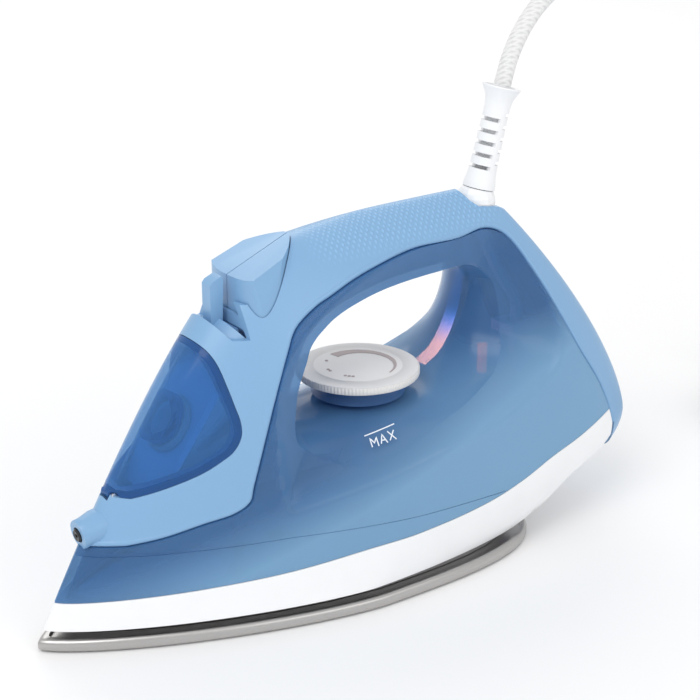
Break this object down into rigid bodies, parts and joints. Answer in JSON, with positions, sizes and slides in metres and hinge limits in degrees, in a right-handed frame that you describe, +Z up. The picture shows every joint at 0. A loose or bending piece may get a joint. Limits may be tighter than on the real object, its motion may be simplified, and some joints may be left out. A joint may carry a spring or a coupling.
{
  "type": "clothes iron",
  "caption": "Steam iron with a metal soleplate, clear water tank, filling door, spray and steam buttons, steam lever, heat dial, and a swivelling cord.",
  "frame": {"origin": "on the floor under the middle of the iron, cord left out", "axes": "+X from the tip to the heel, +Z up, +Y to the side away from the filling door recess"},
  "size_m": [0.514, 0.1411, 0.2564],
  "materials": {
    "shell_blue": "satin moulded",
    "tank_blue": "translucent polished",
    "liner_blue": "translucent polished",
    "door_blue": "transparent polished",
    "tray_blue": "translucent",
    "white_plastic": "satin",
    "dial_white": "satin with fine knurling",
    "black_plastic": "satin",
    "seal_grey": "matt",
    "sole_metal": "fine brushed",
    "cast_metal": "as cast",
    "bright_metal": "polished",
    "ceramic_white": "matt",
    "lamp_red": "clear",
    "guide_blue": "clear light guide",
    "cord_fabric": "fine white braid"
  },
  "bodies": {
    "iron_body": {"soleplate": "sole_metal", "sole_casting": "cast_metal", "steam_chamber_cover": "cast_metal", "heating_element": "sole_metal", "thermostat": "sole_metal", "thermal_fuse": "ceramic_white", "heat_shield": "cast_metal", "skirt": "white_plastic", "tank_base": "tank_blue", "water_tank": "tank_blue", "rear_housing": "tank_blue", "handle_liner": "liner_blue", "column_liner": "liner_blue", "handle_shell": "shell_blue", "heel_plate": "shell_blue", "door_hinge_pin": "bright_metal", "filler_tray": "tray_blue", "filler_seal": "seal_grey", "spray_nozzle": "black_plastic", "spray_pump": "white_plastic", "steam_pump": "white_plastic", "spray_spring": "bright_metal", "steam_spring": "bright_metal", "spray_hose": "tray_blue", "dial_pedestal": "liner_blue", "indicator_lamp": "lamp_red", "light_guide": "guide_blue", "terminal_block": "ceramic_white", "cord_clamp": "white_plastic", "mains_lead": "white_plastic", "cord": "cord_fabric", "cord_coil": "cord_fabric", "cord_end": "cord_fabric", "cord_tie": "black_plastic", "plug_body": "white_plastic", "plug_pin_left": "bright_metal", "plug_pin_right": "bright_metal"},
    "door": {"fill_door": "door_blue"},
    "spray_key": {"spray_button": "shell_blue", "spray_plunger": "black_plastic"},
    "steam_key": {"steam_button": "shell_blue", "steam_plunger": "black_plastic"},
    "lever": {"steam_lever": "shell_blue"},
    "valve": {"valve_rod": "white_plastic"},
    "dial": {"temperature_dial": "dial_white", "dial_shaft": "white_plastic"},
    "swivel": {"cord_ball": "white_plastic"},
    "bend_guide": {"cord_guide": "white_plastic"}
  },
  "joints": [
    {"name": "door_hinge", "type": "hinge", "parent": "iron_body", "child": "door", "pos_m": [-0.1136, 0, 0.0628], "axis": [0, -1, 0], "range_deg": [0, 75]},
    {"name": "spray_press", "type": "slide", "parent": "iron_body", "child": "spray_key", "axis": [0, 0, -1], "range_m": [0, 0.003], "stiffness_N_per_m": 700, "springref_m": -0.002, "deforming": ["spray_spring"]},
    {"name": "steam_press", "type": "slide", "parent": "iron_body", "child": "steam_key", "axis": [0, 0, -1], "range_m": [0, 0.003], "stiffness_N_per_m": 700, "springref_m": -0.002, "deforming": ["steam_spring"]},
    {"name": "lever_turn", "type": "hinge", "parent": "iron_body", "child": "lever", "pos_m": [-0.0524, 0, 0.1067], "axis": [0.8, 0, 0.6], "range_deg": [-23, 23]},
    {"name": "valve_lift", "type": "slide", "parent": "iron_body", "child": "valve", "axis": [0, 0, 1], "range_m": [-0.0021, 0.0021]},
    {"name": "dial_turn", "type": "hinge", "parent": "iron_body", "child": "dial", "pos_m": [0.013, 0, 0.087], "axis": [0, 0, 1], "range_deg": [0, 300]},
    {"name": "cord_swing", "type": "hinge", "parent": "iron_body", "child": "swivel", "pos_m": [0.078, 0, 0.154], "axis": [0, 1, 0], "range_deg": [-20, 30], "deforming": ["cord"]},
    {"name": "cord_twist", "type": "hinge", "parent": "swivel", "child": "bend_guide", "pos_m": [0.078, 0, 0.154], "axis": [0.2607, 0, 0.9654], "range_deg": [-90, 90]}
  ],
  "couplings": [
    {"joint": "valve_lift", "follows": "lever_turn", "m_per_rad": 0.00498}
  ]
}
